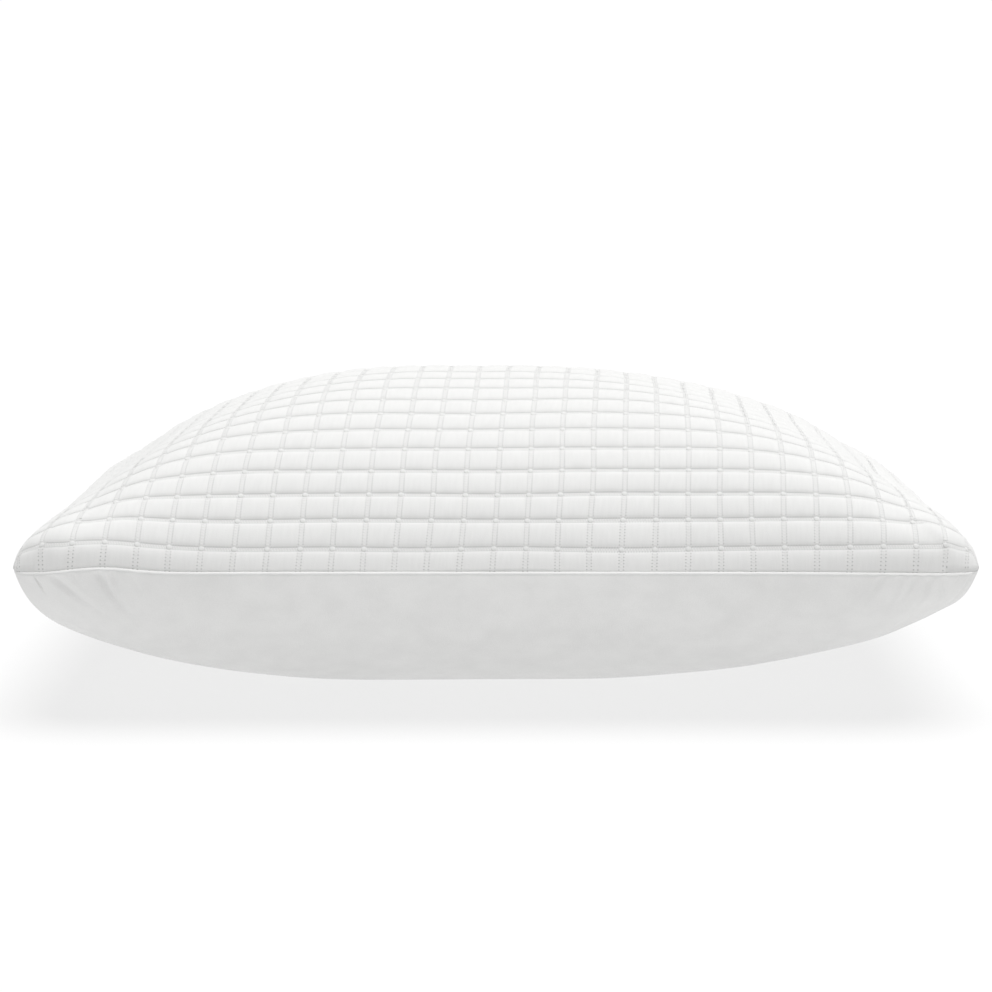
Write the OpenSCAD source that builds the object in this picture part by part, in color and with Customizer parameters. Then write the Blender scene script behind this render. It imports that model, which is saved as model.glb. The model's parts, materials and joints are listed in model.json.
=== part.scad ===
// Bed pillow with a quilted top panel, a plain lower panel and a zipped back seam.
// Units are millimetres. The origin is on the rest surface, under the middle of the
// pillow. +X runs along the long side, +Y points to the zipped back seam, +Z is up.

/* [Cover] */
// Half width, from the centre to the middle of a side seam
half_width = 327; // [300:1:380]
// Half depth, from the centre to the middle of the front seam
half_depth = 208; // [190:1:240]
// How much further than the middle of the front seam the corners reach
corner_reach = 11; // [0:1:14]
// How far the corners draw in from the middle of the side seams
corner_draw = 4; // [0:1:8]
// Squareness of the seam's corners: higher is squarer
corner_power = 10; // [6:0.5:12]
// Height of the seam above the surface that the pillow lies on
seam_height = 103; // [90:1:130]
// Height of the crown above the seam
crown_height = 113; // [80:1:130]
// How far the crown leans towards -X
lean = 19; // [0:1:30]
// How much higher the +X end lies than the -X end
end_rise = 4; // [0:0.5:6]
// Flattening of the underside where it is pressed on the surface
base_press = 5; // [4:0.5:10]

/* [Layers] */
// Thickness of the quilted face fabric
face_thick = 0.6; // [0.4:0.1:1]
// Thickness of the quilting wadding
wadding_thick = 2.2; // [1.5:0.1:4]
// Thickness of the backing behind the wadding
backing_thick = 0.4; // [0.3:0.1:0.6]
// Thickness of the brushed fabric of the lower panel
lower_thick = 1.2; // [0.8:0.1:1.6]
// Room between the cover and the inner liner, at the seam
liner_room = 8; // [7:0.5:12]
// Thickness of the liner fabric
liner_thick = 0.4; // [0.3:0.1:0.8]

/* [Zip] */
// Length of the coil between its stops
zip_length = 380; // [300:5:390]
// Height of the opening in the back seam that shows the coil
zip_opening = 10; // [9.6:0.1:12]
// Width of one tape
tape_width = 13; // [11:0.5:15]
// Thickness of the tapes
tape_thick = 0.5; // [0.4:0.1:0.6]
// Thickness of the coil, front to back
coil_thick = 2; // [1.8:0.1:2.4]
// Width of one row of the coil
coil_width = 2.4; // [2:0.1:2.6]

/* [Slider] */
// Length of the slider along the zip
slider_length = 11; // [10:0.5:13]
// Width of the slider across the zip
slider_width = 8.6; // [8.2:0.1:8.8]
// Thickness of the slider's front and back plates
plate_thick = 1; // [0.8:0.1:1.2]
// Length of the pull tab, eye included
tab_length = 24; // [18:1:32]
// Width of the pull tab
tab_width = 6; // [5:0.5:7]
// Thickness of the pull tab
tab_thick = 1; // [0.8:0.1:1.2]

/* [Label] */
// Width of the care label
label_width = 25; // [20:1:30]
// Length of the care label below the seam
label_length = 42; // [30:1:50]

/* [Hidden] */

// Grid lines of a panel, counted from its middle to a side, along X and along Y
panel_lines = [14, 10];
core_lines = [10, 7];
// Share of the grid's spacing that crowds towards the seam
rim_crowding = 0.85;
// The slope at the seam makes a layer this much thicker in plan than in height
plan_per_thick = 1.22;
// Squareness of the level lines at the crown
crown_power = 4.1;
// How a panel falls from its middle to the seam, along X and along Y: the share of the
// fall that follows the first power of the reach, that power, and the power of the rest
top_fall_x = [0.95, 2.44, 40];
top_fall_y = [0.51, 1.4, 4.4];
base_fall_x = [0.61, 2.5, 39];
base_fall_y = [0.55, 2.5, 4];
// Power at which the corners' reach starts along a side
reach_power = 4.6;
// Radius of the bend where the underside meets the surface
base_blend = 4;
// Half of the sewn gap between the upper and lower panels
seam_gap = 0.1;
core_gap = 1;
// Length over which the seam closes beyond each end of the zip
zip_fade = 24;
// Share of the way in from the seam over which the opening's lift dies away
lift_share = 0.2;

quilt_thick = face_thick + wadding_thick + backing_thick;
liner_depth = quilt_thick + liner_room;
fill_depth = liner_depth + liner_thick + 0.6;
lift = zip_opening / 2;
zip_half = zip_length / 2;

// Zip: the coil's middle lies this far inside the outer edge of the panels
coil_y = half_depth - 3.2;
// Half of the gap between the two rows of the coil, where the slider's post runs
coil_gap = 0.6;
run_gap = 0.3;
stop_length = 2;
tape_y = coil_y - coil_thick / 2 - tape_thick;
// Beyond the opening the tapes slope inwards, behind the panels
tape_slope = 42;

// Slider: a front and a back plate joined by a thin post, with ears that hold the pin
slider_x = zip_half - slider_length / 2 - 0.4;
front_y = coil_y + coil_thick / 2 + run_gap;
rear_y = tape_y - run_gap;
flange_in = coil_gap + coil_width + run_gap;
pin_radius = 0.75;
pin_y = front_y + plate_thick + 2.8;
ear_radius = 1.7;
ear_gap = 1.5;
ear_thick = 0.9;
eye_clearance = 0.08;
eye_wall = 0.8;

// Label: it hangs from the back seam between the zip and a corner
label_x = -238;
label_y = half_depth + 2.2;
label_thick = 0.4;

$fn = 48;

function eased(i, n) = (1 - rim_crowding) * i / n + rim_crowding * sin(90 * i / n);

function smooth_floor(z, k) =
    let (h = min(1, max(0, 0.5 - 0.5 * z / k)))
    z * (1 - h) + k * h * (1 - h);

// Plan position for s across the width and t across the depth, both from -1 to 1
function plan_point(s, t, inset) =
    let (reach = max(abs(s), abs(t)),
         power = crown_power + (corner_power - crown_power) * pow(reach, 3),
         round_reach = pow(pow(abs(s), power) + pow(abs(t), power), 1 / power),
         fit = round_reach > 0 ? reach / round_reach : 1,
         a = s * fit,
         b = t * fit,
         shift = lean * pow(1 - reach * reach, 2))
    [a * (half_width - inset - corner_draw * pow(abs(b), reach_power)) - shift,
     b * (half_depth - inset + corner_reach * pow(abs(a), reach_power))];

// Share of a panel's height that it has lost at s, t
function fall(s, t, along_x, along_y) =
    let (reach = max(abs(s), abs(t)),
         c = reach > 0 ? s * s / (s * s + t * t) : 0.5)
    c * (along_x[0] * pow(reach, along_x[1]) + (1 - along_x[0]) * pow(reach, along_x[2]))
    + (1 - c) * (along_y[0] * pow(reach, along_y[1]) + (1 - along_y[0]) * pow(reach, along_y[2]));

function tilt(s, reach) = end_rise * s * reach * (1 - pow(reach, 8));

// Lift of the panel edges that opens the back seam for the zip
function zip_lift(x, reach, t) =
    t < 0 ? 0 :
    let (past = max(0, abs(x) - zip_half - stop_length),
         along = max(0, 1 - past / zip_fade),
         across = max(0, 1 - (1 - reach) / lift_share),
         facing = max(0, 1 - (reach - t) * 4))
    lift * along * across * facing;

function upper_point(s, t, depth, gap) =
    let (reach = max(abs(s), abs(t)),
         plan = plan_point(s, t, depth * plan_per_thick),
         rise = 1 - fall(s, t, top_fall_x, top_fall_y))
    [plan.x, plan.y, seam_height + gap + (crown_height - depth - gap) * rise
                     + tilt(s, reach) + zip_lift(plan.x, reach, t)];

function lower_point(s, t, depth, gap) =
    let (reach = max(abs(s), abs(t)),
         plan = plan_point(s, t, depth * plan_per_thick),
         height = seam_height - gap - depth,
         drop = 1 - fall(s, t, base_fall_x, base_fall_y),
         raw = height - (height + base_press) * drop + tilt(s, reach),
         z = depth + smooth_floor(raw, base_blend))
    [plan.x, plan.y, z - zip_lift(plan.x, reach, t)];

function grid_points(upper, depth, gap, lines) =
    [for (j = [-lines.y:lines.y]) for (i = [-lines.x:lines.x])
        let (s = eased(i, lines.x), t = eased(j, lines.y))
        upper ? upper_point(s, t, depth, gap) : lower_point(s, t, depth, gap)];

// Each cell is split along the diagonal that points away from the middle
function grid_faces(first, lines, up) =
    let (row = 2 * lines.x + 1)
    [for (j = [0:2 * lines.y - 1]) for (i = [0:2 * lines.x - 1]) for (half = [0, 1])
        let (a = first + j * row + i, b = a + 1, c = a + row + 1, d = a + row,
             outward = (i < lines.x) == (j < lines.y),
             tri = outward ? (half == 0 ? [a, b, c] : [a, c, d])
                           : (half == 0 ? [a, b, d] : [b, c, d]))
        up ? [tri[2], tri[1], tri[0]] : tri];

// Indices of the grid's border, once round
function border(lines) =
    let (row = 2 * lines.x + 1, last = 2 * lines.y)
    concat([for (i = [0:2 * lines.x - 1]) i],
           [for (j = [0:last - 1]) j * row + row - 1],
           [for (i = [2 * lines.x:-1:1]) last * row + i],
           [for (j = [last:-1:1]) j * row]);

function rim_faces(lines, second) =
    let (ring = border(lines), n = len(ring))
    [for (i = [0:n - 1]) for (half = [0, 1])
        let (a = ring[i], b = ring[(i + 1) % n])
        half == 0 ? [a, b, second + b] : [a, second + b, second + a]];

// Closed solid between two grids that share a border, the first one on top
module between(top_points, base_points, lines) {
    n = len(top_points);
    polyhedron(points = concat(top_points, base_points),
               faces = concat(grid_faces(0, lines, true), grid_faces(n, lines, false),
                              rim_faces(lines, n)),
               convexity = 6);
}

module upper_layer(depth, thick, lines, gap) {
    between(grid_points(true, depth, gap, lines), grid_points(true, depth + thick, gap, lines), lines);
}

module lower_layer(depth, thick, lines, gap) {
    between(grid_points(false, depth + thick, gap, lines), grid_points(false, depth, gap, lines), lines);
}

module top_panel_face() {
    color("whitesmoke") upper_layer(0, face_thick, panel_lines, seam_gap);
}

module top_panel_wadding() {
    color("white") upper_layer(face_thick, wadding_thick, panel_lines, seam_gap);
}

module top_panel_backing() {
    color("gainsboro") upper_layer(face_thick + wadding_thick, backing_thick, panel_lines, seam_gap);
}

module bottom_panel() {
    color("lightgray") lower_layer(0, lower_thick, panel_lines, seam_gap);
}

module liner_top() {
    color("white") upper_layer(liner_depth, liner_thick, core_lines, core_gap);
}

module liner_bottom() {
    color("white") lower_layer(liner_depth, liner_thick, core_lines, core_gap);
}

module fill() {
    color("ivory")
        between(grid_points(true, fill_depth, core_gap, core_lines),
                grid_points(false, fill_depth, core_gap, core_lines), core_lines);
}

// Extrudes a Y-Z outline along the zip
module along_zip(length) {
    rotate([90, 0, 90]) linear_extrude(length, center = true) children();
}

module tape(side) {
    run = tape_width - lift;
    in_y = run * cos(tape_slope);
    in_z = run * sin(tape_slope);
    along_zip(zip_length + 2 * stop_length)
        polygon([for (p = [[0, coil_gap], [0, lift], [-in_y, lift + in_z],
                           [-in_y - tape_thick, lift + in_z],
                           [-tape_thick, lift + tape_thick / 2], [-tape_thick, coil_gap]])
                 [tape_y + tape_thick + p.x, seam_height + side * p.y]]);
}

module zip_tape_upper() {
    color("white") tape(1);
}

module zip_tape_lower() {
    color("white") tape(-1);
}

// One row of the coil, as the bead that its turns fill
module coil_row(side) {
    r = coil_thick / 2;
    along_zip(zip_length)
        for (z = [coil_gap + r, coil_gap + coil_width - r])
            translate([coil_y, seam_height + side * z]) circle(r);
    along_zip(zip_length)
        translate([coil_y, seam_height + side * (coil_gap + coil_width / 2)])
            square([coil_thick, coil_width - coil_thick], center = true);
}

module zip_coil_upper() {
    color("white") coil_row(1);
}

module zip_coil_lower() {
    color("white") coil_row(-1);
}

module slider_plate(y) {
    translate([slider_x, y, seam_height]) rotate([-90, 0, 0])
        linear_extrude(plate_thick) hull() {
            translate([slider_length / 2 - 2, 0]) square([4, slider_width], center = true);
            translate([-slider_length / 2 + 1.5, 0]) square([3, slider_width - 1.6], center = true);
        }
}

module zip_slider_body() {
    color("silver") {
        slider_plate(front_y);
        slider_plate(rear_y - plate_thick);
        // Post between the rows of the coil
        translate([slider_x + slider_length / 4, (front_y + rear_y) / 2, seam_height])
            cube([slider_length / 3, front_y - rear_y + 0.2, 2 * (coil_gap - run_gap)], center = true);
        // Flanges that keep the rows of the coil together
        for (side = [-1, 1])
            translate([slider_x + 1.5, front_y - coil_thick / 2,
                       seam_height + side * (flange_in + slider_width / 2) / 2])
                cube([slider_length - 4, coil_thick + 0.2, slider_width / 2 - flange_in], center = true);
        // Ears and the pin that the tab turns on
        for (side = [-1, 1])
            translate([slider_x, pin_y, seam_height + side * (ear_gap + ear_thick / 2)]) {
                cylinder(h = ear_thick, r = ear_radius, center = true);
                translate([0, (front_y + plate_thick / 2 - pin_y) / 2, 0])
                    cube([2 * ear_radius, pin_y - front_y - plate_thick / 2, ear_thick], center = true);
            }
        translate([slider_x, pin_y, seam_height])
            cylinder(h = 2 * (ear_gap + ear_thick / 2), r = pin_radius, center = true);
    }
}

module zip_pull_tab() {
    eye_radius = pin_radius + eye_clearance;
    eye_outer = eye_radius + eye_wall;
    neck = 2 * (ear_gap - run_gap);
    shoulder = ear_radius + 1;
    color("silver") translate([slider_x, pin_y, seam_height]) difference() {
        union() {
            cylinder(h = neck, r = eye_outer, center = true);
            translate([-shoulder / 2 - 0.5, 0, 0]) cube([shoulder + 1, tab_thick, neck], center = true);
            rotate([90, 0, 0]) linear_extrude(tab_thick, center = true) difference() {
                union() {
                    translate([-tab_length + tab_width / 2, 0]) circle(tab_width / 2);
                    translate([-tab_length + tab_width / 2, -tab_width / 2])
                        square([tab_length - tab_width / 2 - shoulder, tab_width]);
                }
                translate([-tab_length + tab_width / 2 + 1, 0]) circle(tab_width / 5);
            }
        }
        cylinder(h = neck + 2, r = eye_radius, center = true);
    }
}

// A stop pressed on the front of the tapes, just past the end of the coil
module stop_block(end, low, high) {
    translate([end * (zip_half + stop_length / 2), (tape_y + tape_thick + front_y) / 2,
               seam_height + (low + high) / 2])
        cube([stop_length, front_y - tape_y - tape_thick, high - low], center = true);
}

module zip_top_stops() {
    color("silver") for (side = [-1, 1])
        stop_block(1, min(side * coil_gap, side * (coil_gap + coil_width)),
                   max(side * coil_gap, side * (coil_gap + coil_width)));
}

module zip_bottom_stop() {
    color("silver") stop_block(-1, -coil_gap - coil_width, coil_gap + coil_width);
}

module care_label() {
    color("white") translate([label_x - label_width / 2, label_y, seam_height - label_length])
        cube([label_width, label_thick, label_length]);
}

top_panel_face();
top_panel_wadding();
top_panel_backing();
bottom_panel();
zip_tape_upper();
zip_tape_lower();
zip_coil_upper();
zip_coil_lower();
zip_slider_body();
zip_pull_tab();
zip_top_stops();
zip_bottom_stop();
care_label();
liner_top();
liner_bottom();
fill();
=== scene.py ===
import json
import math

import bmesh
import bpy
import numpy as np
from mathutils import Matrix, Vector

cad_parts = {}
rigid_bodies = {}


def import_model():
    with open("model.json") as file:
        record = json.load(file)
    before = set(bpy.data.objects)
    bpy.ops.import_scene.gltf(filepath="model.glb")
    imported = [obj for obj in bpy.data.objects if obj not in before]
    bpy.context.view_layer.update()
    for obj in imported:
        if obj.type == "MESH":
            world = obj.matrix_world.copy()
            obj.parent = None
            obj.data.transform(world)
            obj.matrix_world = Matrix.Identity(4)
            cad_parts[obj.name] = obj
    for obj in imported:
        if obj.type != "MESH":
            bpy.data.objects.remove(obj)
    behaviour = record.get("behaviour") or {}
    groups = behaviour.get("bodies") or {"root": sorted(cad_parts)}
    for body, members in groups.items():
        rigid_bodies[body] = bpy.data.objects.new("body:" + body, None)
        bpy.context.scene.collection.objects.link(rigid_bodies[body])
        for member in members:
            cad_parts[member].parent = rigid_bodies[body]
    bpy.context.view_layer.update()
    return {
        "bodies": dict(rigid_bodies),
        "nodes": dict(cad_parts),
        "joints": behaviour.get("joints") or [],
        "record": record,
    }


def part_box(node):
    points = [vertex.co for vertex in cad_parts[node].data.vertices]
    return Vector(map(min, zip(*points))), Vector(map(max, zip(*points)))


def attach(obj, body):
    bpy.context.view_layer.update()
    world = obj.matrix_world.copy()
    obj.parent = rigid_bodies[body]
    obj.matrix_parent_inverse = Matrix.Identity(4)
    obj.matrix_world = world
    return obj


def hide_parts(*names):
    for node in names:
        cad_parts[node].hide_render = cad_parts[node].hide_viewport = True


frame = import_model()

# Shapes are worked out in millimetres, as in the CAD, and turned to metres when a mesh is made.
mm = 0.001


def boxMm(node):
    low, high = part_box(node)
    return np.array(low) / mm, np.array(high) / mm


# The larger of |a| and |b|, never quite 0 so that it can divide.
def largerOf(a, b):
    return np.maximum(np.maximum(np.abs(a), np.abs(b)), 1e-9)


# Grows from 0 at no distance towards 1, over about the given length.
def growth(distance, length):
    return 1 - np.exp(-np.maximum(distance, 0) / length)


def bell(place, middle, width):
    return np.exp(-((place - middle) / width) ** 2)


topLow, topHigh = boxMm("top_panel_face")
baseLow, baseHigh = boxMm("bottom_panel")
coilLow, coilHigh = boxMm("zip_coil_upper")

pillow = {
    "halfWidth": (topHigh[0] - topLow[0]) / 2 - 1.0,    # the padding draws each end in by 1 mm
    "seamBow": 1.7,           # how far the seam's bow stands past its middle, front and back
    "cornerReach": 11.0,      # the corners stand this much further out in depth
    "cornerDraw": 4.0,        # and the ends this much less far out at the corners
    "reachPower": 4.6,
    "crownPower": 4.1,        # squareness of the level lines at the crown
    "cornerPower": 10.0,      # squareness of the seam's corners
    "seamHeight": (topLow[2] + baseHigh[2]) / 2,
    "lean": 19.0,             # the crown sits this far towards -X
    "endRise": 4.0,           # and the +X end lies this much higher
    "basePress": 5.0,         # how far the floor presses the round base up
    "baseBlend": 4.0,
    # Share and power of the soft fall from the crown, then the power of the steep fall at the seam.
    "topFallX": (0.95, 2.44, 40),
    "topFallY": (0.51, 1.4, 4.4),
    "baseFallX": (0.61, 2.5, 39),
    "baseFallY": (0.55, 2.5, 4),
    "zipHalf": coilHigh[0] + 2,
    "zipFade": 24.0,
    "zipLift": 5.0,           # how far each panel's edge stands off the zip
    "sideInset": 1.22,        # mm that an inner shell stands in at the side for each mm of depth
    "endDroop": 4.0,          # how far the seam sinks at the two ends
    "gatherAt": -258.0,       # where the front seam is drawn up
    "gatherRise": 3.6,
    "gatherWidth": 30.0,
    "cornerFull": 13.0,       # how much fuller the top's corners are than the CAD's plain form
    "cornerStart": 4.0,       # mm from the seam over which it grows
    "cornerFade": 32.0,       # and over which it dies away
    "cornerBack": 0.3,        # the back corners are less full
    "endStart": 6.0,          # mm from the seam over which the ends' dips and bumps grow
    # Dips and bumps of the base and of the two ends: height, place along X and width of each.
    "baseShape": ((4.5, 290, 20), (4.0, 304, 11)),
    "endShape": ((-6.8, -273, 22), (2.0, -316, 12), (-9.5, 271, 20), (5.8, 318, 14)),
}
pillow["halfDepth"] = (topHigh[1] - topLow[1]) / 2 - pillow["seamBow"]
pillow["crownHeight"] = topHigh[2] - pillow["seamHeight"]

quilt = {
    "square": 21.0,           # stitch line to stitch line
    "firstRow": 0.78,         # front seam to the first row, in squares
    "endRow": -0.08,          # how much further the first row is at the ends
    "rowsBehind": 22.65,      # first row to the back seam, in squares
    "across": 17,             # squares each side of the middle column
    "slopeShare": 0.5,        # how much of a side slope's length the knit takes up
    "channel": 1.3,           # half width of the stitched channel
    "puff": 1.1,              # height of a square's shoulder over the channel
    "dome": 0.65,             # extra height at a square's middle
    "uprightShare": 0.14,     # depth of the upright channels against the level ones
    "shoulder": 1.7,
    "seamEase": 5.0,          # mm over which the quilting rises from the seam
    "cuts": (0, 1.25, 2.3, 4.2, 7.2, 10.5),    # grid lines over half a square, closer at the channel
    "lines": 23,              # level stitch lines
    "wander": 0.5,            # how far the stitch lines stray
    "offset": -2.6,           # the middle column's place
    "widen": 1.008,
    "skew": 0.052,            # the fabric was sewn on a little askew
    "gridHalf": (372, 258),   # the plan grid on which the fabric is measured, and its step
    "gridStep": 3.0,
    "steepest": 2.2,          # slopes past this stretch the measure no further
    "rim": 0.9985,            # past this reach the panel is cut off at the seam
    "turnedIn": 9.0,          # seam allowance
}


def fallOf(a, b, reach, alongX, alongY):
    c = np.where(reach > 1e-9, a * a / np.maximum(a * a + b * b, 1e-12), 0.5)
    fallX = alongX[0] * reach ** alongX[1] + (1 - alongX[0]) * reach ** alongX[2]
    fallY = alongY[0] * reach ** alongY[1] + (1 - alongY[0]) * reach ** alongY[2]
    return c * fallX + (1 - c) * fallY


# a, b and reach of plan points: reach is 0 at the crown and 1 on the seam.
def levelAt(x, y):
    p = pillow
    a, b = x / p["halfWidth"], y / p["halfDepth"]
    reach = np.maximum(np.abs(a), np.abs(b))
    for step in range(14):
        inside = np.clip(reach, 0, 1)
        shifted = x + p["lean"] * (1 - inside ** 2) ** 2
        power = p["crownPower"] + (p["cornerPower"] - p["crownPower"]) * inside ** 3
        draw = p["cornerDraw"] * np.minimum(np.abs(b), 1.1) ** p["reachPower"]
        grow = p["cornerReach"] * np.minimum(np.abs(a), 1.1) ** p["reachPower"]
        a, b = shifted / (p["halfWidth"] - draw), y / (p["halfDepth"] + grow)
        now = (np.abs(a) ** power + np.abs(b) ** power) ** (1 / power)
        reach = (reach + now) / 2 if step < 10 else now
    return a, b, reach


# Plan points of a and b, on a line that runs some way inside the seam.
def planAt(a, b, inset=0.0):
    p = pillow
    return (a * (p["halfWidth"] - inset - p["cornerDraw"] * np.abs(b) ** p["reachPower"]),
            b * (p["halfDepth"] - inset + p["cornerReach"] * np.abs(a) ** p["reachPower"]))


def tiltOf(a, b, reach):
    side = a * reach / largerOf(a, b)
    return pillow["endRise"] * side * reach * (1 - np.minimum(reach, 1) ** 8)


# Droop of the ends and the drawn-up spot in front, fading away from the seam.
def seamShift(x, a, b, reach):
    p = pillow
    size = largerOf(a, b)
    front = np.clip(-b / size * 6 - 5, 0, 1) * np.clip(reach, 0, 1.1) ** 12
    gather = p["gatherRise"] * bell(x, p["gatherAt"], p["gatherWidth"])
    return gather * front - p["endDroop"] * np.clip(np.abs(a), 0, 1.1) ** 10


# Millimetres inside the seam, about.
def insetOf(a, b, reach):
    c = a * a / np.maximum(a * a + b * b, 1e-9)
    return (1 - reach) * (c * pillow["halfWidth"] + (1 - c) * pillow["halfDepth"])


def cornerFullness(x, a, b, reach):
    p = pillow
    size = largerOf(a, b)
    away = np.maximum(insetOf(a, b, reach), 0)
    most = p["cornerFull"] * (np.abs(a) / size / 0.9) ** 4 * (np.abs(b) / size) ** 3
    most = most * np.where(b > 0, p["cornerBack"], 1)
    full = most * growth(away, p["cornerStart"]) * np.exp(-away / p["cornerFade"])
    middle = (1 - np.clip(np.abs(b), 0, 1) ** 2) * growth(away, p["endStart"])
    for height, place, width in p["endShape"]:
        full = full + height * middle * bell(x, place, width)
    return full


# Millimetres that the panel edges part at the zip.
def zipLiftOf(x, a, b, reach):
    p = pillow
    back = b * reach / largerOf(a, b)
    along = np.clip(1 - (np.abs(x) - p["zipHalf"]) / p["zipFade"], 0, 1)
    across = np.clip(1 - (1 - reach) / 0.2, 0, 1)
    facing = np.clip(1 - (reach - back) * 4, 0, 1)
    return np.where(back > 0, p["zipLift"] * along * across * facing, 0)


def upperHeight(x, y, lifted=True):
    p = pillow
    a, b, reach = levelAt(x, y)
    within = np.where(reach > 1, 2 - reach, reach).clip(0, 1)
    rise = 1 - fallOf(a, b, within, p["topFallX"], p["topFallY"])
    z = p["seamHeight"] + p["crownHeight"] * np.where(reach > 1, -rise, rise) + tiltOf(a, b, reach)
    z = z + seamShift(x, a, b, reach) + cornerFullness(x, a, b, reach)
    return z + zipLiftOf(x, a, b, reach) if lifted else z


# Plan place of s across and t along the depth, both from -1 to 1, on a shell some depth inside.
def shellPlan(s, t, depth):
    p = pillow
    reach = np.maximum(np.abs(s), np.abs(t))
    power = p["crownPower"] + (p["cornerPower"] - p["crownPower"]) * reach ** 3
    fit = reach / np.maximum((np.abs(s) ** power + np.abs(t) ** power) ** (1 / power), 1e-9)
    a, b = s * fit, t * fit
    x, y = planAt(a, b, p["sideInset"] * depth)
    return x - p["lean"] * (1 - reach ** 2) ** 2, y, a, b, reach


# Points of the underside, or of a shell inside it.
def lowerSurface(s, t, depth=0.0):
    p = pillow
    x, y, a, b, reach = shellPlan(s, t, depth)
    height = p["seamHeight"] - depth
    drop = 1 - fallOf(a, b, reach, p["baseFallX"], p["baseFallY"])
    raw = height - (height + p["basePress"]) * drop + tiltOf(a, b, reach)
    for bump, place, width in p["baseShape"]:
        raw = raw + bump * (1 - reach ** 8) * bell(x, place, width)
    blend = np.clip(0.5 - 0.5 * raw / p["baseBlend"], 0, 1)
    z = depth + raw * (1 - blend) + p["baseBlend"] * blend * (1 - blend)
    return x, y, z - zipLiftOf(x, a, b, reach) + seamShift(x, a, b, reach), reach


# Points of the top, or of a shell inside it.
def upperSurface(s, t, depth=0.0):
    p = pillow
    x, y, a, b, reach = shellPlan(s, t, depth)
    rise = 1 - fallOf(a, b, reach, p["topFallX"], p["topFallY"])
    z = p["seamHeight"] + (p["crownHeight"] - depth) * rise + tiltOf(a, b, reach)
    z = z + seamShift(x, a, b, reach) + cornerFullness(x, a, b, reach)
    return x, y, z + zipLiftOf(x, a, b, reach), reach


# Grid lines from -1 to 1 that crowd towards both ends.
def easedLine(count, crowding):
    i = np.arange(-count, count + 1) / count
    return (1 - crowding) * i + crowding * np.sin(i * math.pi / 2)


# Smooth unevenness between about -1 and 1, with bumps of about the given size.
def ripple(x, y, seed, size, waves=7):
    draw = np.random.default_rng(seed)
    total = np.zeros(np.broadcast(x, y).shape)
    for n in range(waves):
        turn, phase = draw.uniform(0, 2 * math.pi, 2)
        pitch = size * draw.uniform(1.4, 2.8)
        total += np.sin((x * math.cos(turn) + y * math.sin(turn)) * 2 * math.pi / pitch + phase)
    return total / math.sqrt(waves * 1.2)


def newObject(name, data):
    made = bpy.data.objects.new(name, data)
    bpy.context.scene.collection.objects.link(made)
    return made


def meshPiece(name, points, faces, uv=None):
    mesh = bpy.data.meshes.new(name)
    mesh.from_pydata((np.asarray(points) * mm).tolist(), [], faces)
    mesh.polygons.foreach_set("use_smooth", [True] * len(mesh.polygons))
    if uv is not None:
        layer = mesh.uv_layers.new(name="fabricMap")
        corner = np.zeros(len(mesh.loops), np.int32)
        mesh.loops.foreach_get("vertex_index", corner)
        layer.data.foreach_set("uv", (np.asarray(uv)[corner] * mm).astype(np.float32).ravel())
    mesh.update()
    return newObject(name, mesh)


# Bilinear reading of a table at column i and row j, which lie between its cells.
def readTable(table, i, j):
    i0 = np.minimum(i.astype(int), table.shape[1] - 2)
    j0 = np.minimum(j.astype(int), table.shape[0] - 2)
    fi, fj = i - i0, j - j0
    if table.ndim > 2:
        fi, fj = fi[..., None], fj[..., None]
    return ((table[j0, i0] * (1 - fi) + table[j0, i0 + 1] * fi) * (1 - fj)
            + (table[j0 + 1, i0] * (1 - fi) + table[j0 + 1, i0 + 1] * fi) * fj)


# Reads a table on a regular plan grid.
def sampler(xs, ys, values):
    stepX, stepY = xs[1] - xs[0], ys[1] - ys[0]

    def read(x, y):
        return readTable(values, np.clip((x - xs[0]) / stepX, 0, len(xs) - 1.001),
                         np.clip((y - ys[0]) / stepY, 0, len(ys) - 1.001))
    return read


# Readers of the fabric's u and v at plan points, and of their growth along X and Y.
def layFabric():
    q, p = quilt, pillow
    xs, ys = [np.arange(-half, half + 1, q["gridStep"]) for half in q["gridHalf"]]
    gridX, gridY = np.meshgrid(xs, ys)
    height = upperHeight(gridX, gridY, lifted=False)
    slopeY, slopeX = np.gradient(height, ys, xs)
    slopeX, slopeY = [np.clip(slope, -q["steepest"], q["steepest"]) for slope in (slopeX, slopeY)]
    growU, growV = np.sqrt(1 + q["slopeShare"] * slopeX ** 2), np.sqrt(1 + slopeY ** 2)
    u = np.cumsum(growU, axis=1) * q["gridStep"]
    u -= u[:, [len(xs) // 2]]
    v = np.cumsum(growV, axis=0) * q["gridStep"]
    side = np.abs(xs) / p["halfWidth"]
    inside = np.clip(xs, 10 - p["halfWidth"], p["halfWidth"] - 10)
    outward = -ys[59::-1]
    reach = levelAt(*np.meshgrid(inside, outward))[2]
    edge = np.array([np.interp(1, reach[:, i], outward) for i in range(len(xs))])
    for i in range(len(xs)):
        front, back = np.interp([-edge[i], edge[i]], ys, v[:, i])
        share = np.clip((v[:, i] - front) / (back - front), 0, 1)
        ease = share ** 2 * (3 - 2 * share)
        deep = (q["firstRow"] + q["rowsBehind"]) * q["square"]
        first = (q["firstRow"] + q["endRow"] * side[i] ** 4) * q["square"]
        v[:, i] += (deep - (back - front)) * ease - front - first
    growU, growV = np.gradient(u, xs, axis=1), np.gradient(v, ys, axis=0)
    return [sampler(xs, ys, table) for table in (u, v, growU, growV)]


def strayed(u, v):
    q = quilt
    over = q["offset"] + q["skew"] * (v + q["firstRow"] * q["square"])
    return (u * q["widen"] + over + q["wander"] * ripple(u, v, 11, 45),
            v + q["wander"] * ripple(u, v, 12, 45))


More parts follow.
